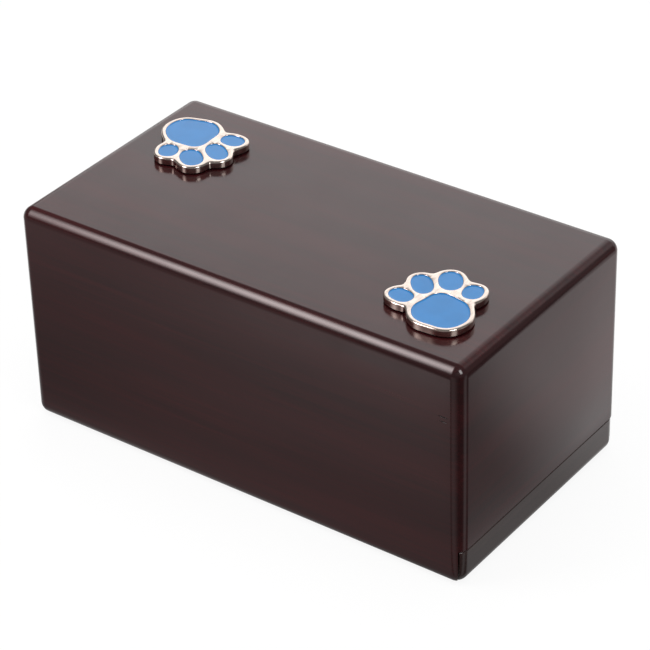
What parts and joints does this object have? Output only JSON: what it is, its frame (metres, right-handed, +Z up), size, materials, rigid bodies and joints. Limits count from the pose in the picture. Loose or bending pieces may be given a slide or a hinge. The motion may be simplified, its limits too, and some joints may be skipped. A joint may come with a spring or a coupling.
{
  "type": "pet cremation urn",
  "caption": "Small lacquered wooden box for a pet's ashes, with paw emblems on its top and a bottom panel that slides out endways with the strip at the foot of one end.",
  "frame": {"origin": "centre of the box's underside, on the surface that it stands on", "axes": "+X along the box to the end that opens, +Y from the front to the back, +Z up"},
  "size_m": [0.15, 0.08, 0.0725],
  "materials": {
    "lacquered_wood": "glossy clear lacquer over a dark mahogany stain",
    "polished_nickel": "polished nickel plate on a cast plate",
    "blue_enamel": "gloss sky blue soft enamel"
  },
  "bodies": {
    "box": {"top_board": "lacquered_wood", "front_wall": "lacquered_wood", "back_wall": "lacquered_wood", "left_end_wall": "lacquered_wood", "right_end_wall": "lacquered_wood", "left_emblem_plate": "polished_nickel", "left_emblem_pad_enamel": "blue_enamel", "left_emblem_outer_left_toe_enamel": "blue_enamel", "left_emblem_inner_left_toe_enamel": "blue_enamel", "left_emblem_inner_right_toe_enamel": "blue_enamel", "left_emblem_outer_right_toe_enamel": "blue_enamel", "right_emblem_plate": "polished_nickel", "right_emblem_pad_enamel": "blue_enamel", "right_emblem_outer_left_toe_enamel": "blue_enamel", "right_emblem_inner_left_toe_enamel": "blue_enamel", "right_emblem_inner_right_toe_enamel": "blue_enamel", "right_emblem_outer_right_toe_enamel": "blue_enamel"},
    "bottom_slide": {"bottom_panel": "lacquered_wood", "bottom_end_strip": "lacquered_wood"}
  },
  "joints": [
    {"name": "bottom_slide_out", "type": "slide", "parent": "box", "child": "bottom_slide", "axis": [1, 0, 0], "range_m": [0, 0.13]}
  ]
}
